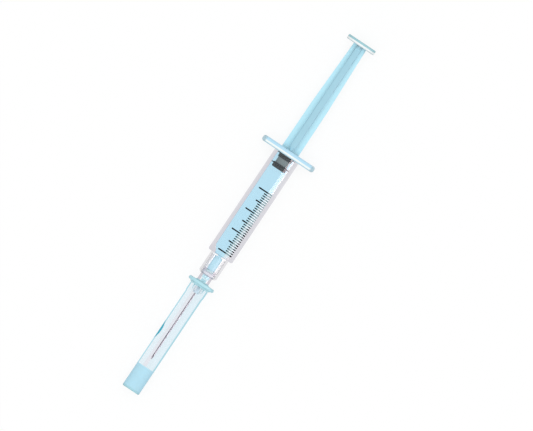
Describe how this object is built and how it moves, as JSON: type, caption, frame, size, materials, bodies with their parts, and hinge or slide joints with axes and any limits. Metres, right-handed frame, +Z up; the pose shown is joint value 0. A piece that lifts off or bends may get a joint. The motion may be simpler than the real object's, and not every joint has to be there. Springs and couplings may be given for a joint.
{
  "type": "luer lock syringe",
  "caption": "Clear 3 mL luer lock syringe drawn fully back, with a sheathed needle screwed into its threaded collar.",
  "frame": {"origin": "on the ground under the middle of the outer box, with the syringe lying on a flat side of its finger flange", "axes": "+X along the axis from the thumb disc to the needle, +Z up, the finger flange spans Y"},
  "size_m": [0.2098, 0.0306, 0.016],
  "materials": {
    "plunger_plastic": "semi-gloss moulded polypropylene",
    "stopper_rubber": "dark matt rubber",
    "clear_barrel": "clear moulded polypropylene",
    "hub_plastic": "pale teal moulded polypropylene",
    "needle_steel": "drawn stainless steel tube",
    "cured_adhesive": "cured clear adhesive",
    "clear_sheath": "clear moulded polyethylene",
    "sheath_end_plastic": "pale blue moulded polyethylene"
  },
  "bodies": {
    "syringe_barrel": {"barrel": "clear_barrel"},
    "plunger": {"plunger_rod": "plunger_plastic", "stopper": "stopper_rubber"},
    "needle_lead": {"needle_bond": "cured_adhesive"},
    "needle": {"needle_hub": "hub_plastic", "cannula": "needle_steel"},
    "sheath": {"sheath_tube": "clear_sheath", "sheath_end": "sheath_end_plastic"}
  },
  "joints": [
    {"name": "plunger_slide", "type": "slide", "parent": "syringe_barrel", "child": "plunger", "axis": [1, 0, 0], "range_m": [0, 0.0495]},
    {"name": "needle_draw", "type": "slide", "parent": "syringe_barrel", "child": "needle_lead", "axis": [1, 0, 0], "range_m": [0, 0.004]},
    {"name": "needle_unscrew", "type": "hinge", "parent": "needle_lead", "child": "needle", "pos_m": [0.03, 0, 0.008], "axis": [1, 0, 0], "range_deg": [0, 288.1]},
    {"name": "sheath_pull", "type": "slide", "parent": "needle", "child": "sheath", "axis": [1, 0, 0], "range_m": [0, 0.048]}
  ],
  "couplings": [
    {"joint": "needle_unscrew", "follows": "needle_draw", "rad_per_m": 1256.6}
  ]
}
